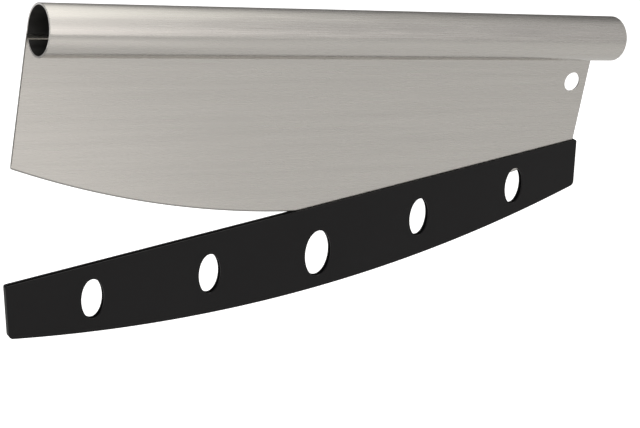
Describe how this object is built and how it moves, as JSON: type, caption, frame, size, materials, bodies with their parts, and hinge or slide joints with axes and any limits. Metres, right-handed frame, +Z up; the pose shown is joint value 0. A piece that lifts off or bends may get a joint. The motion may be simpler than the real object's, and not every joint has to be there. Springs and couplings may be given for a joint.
{
  "type": "rocking pizza knife",
  "caption": "Wide curved steel blade formed with a rolled tube handle along its top, with a slotted plastic edge guard that is partly slid on.",
  "frame": {"origin": "middle of the tube handle's axis", "axes": "+X along the handle to the end with the hanging hole, +Y to the blade's back face, +Z up, away from the cutting edge"},
  "size_m": [0.363, 0.0266, 0.1739],
  "materials": {
    "brushed_sheet_steel": "fine brushed grain along the handle",
    "black_guard_plastic": "satin moulded plastic"
  },
  "bodies": {
    "knife": {"blade_with_handle": "brushed_sheet_steel"},
    "guard": {"blade_guard": "black_guard_plastic"}
  },
  "joints": [
    {"name": "guard_swing", "type": "hinge", "parent": "knife", "child": "guard", "pos_m": [0.2277, 0.0122, -0.0598], "axis": [0, 1, 0], "range_deg": [-20, 10.8]}
  ]
}
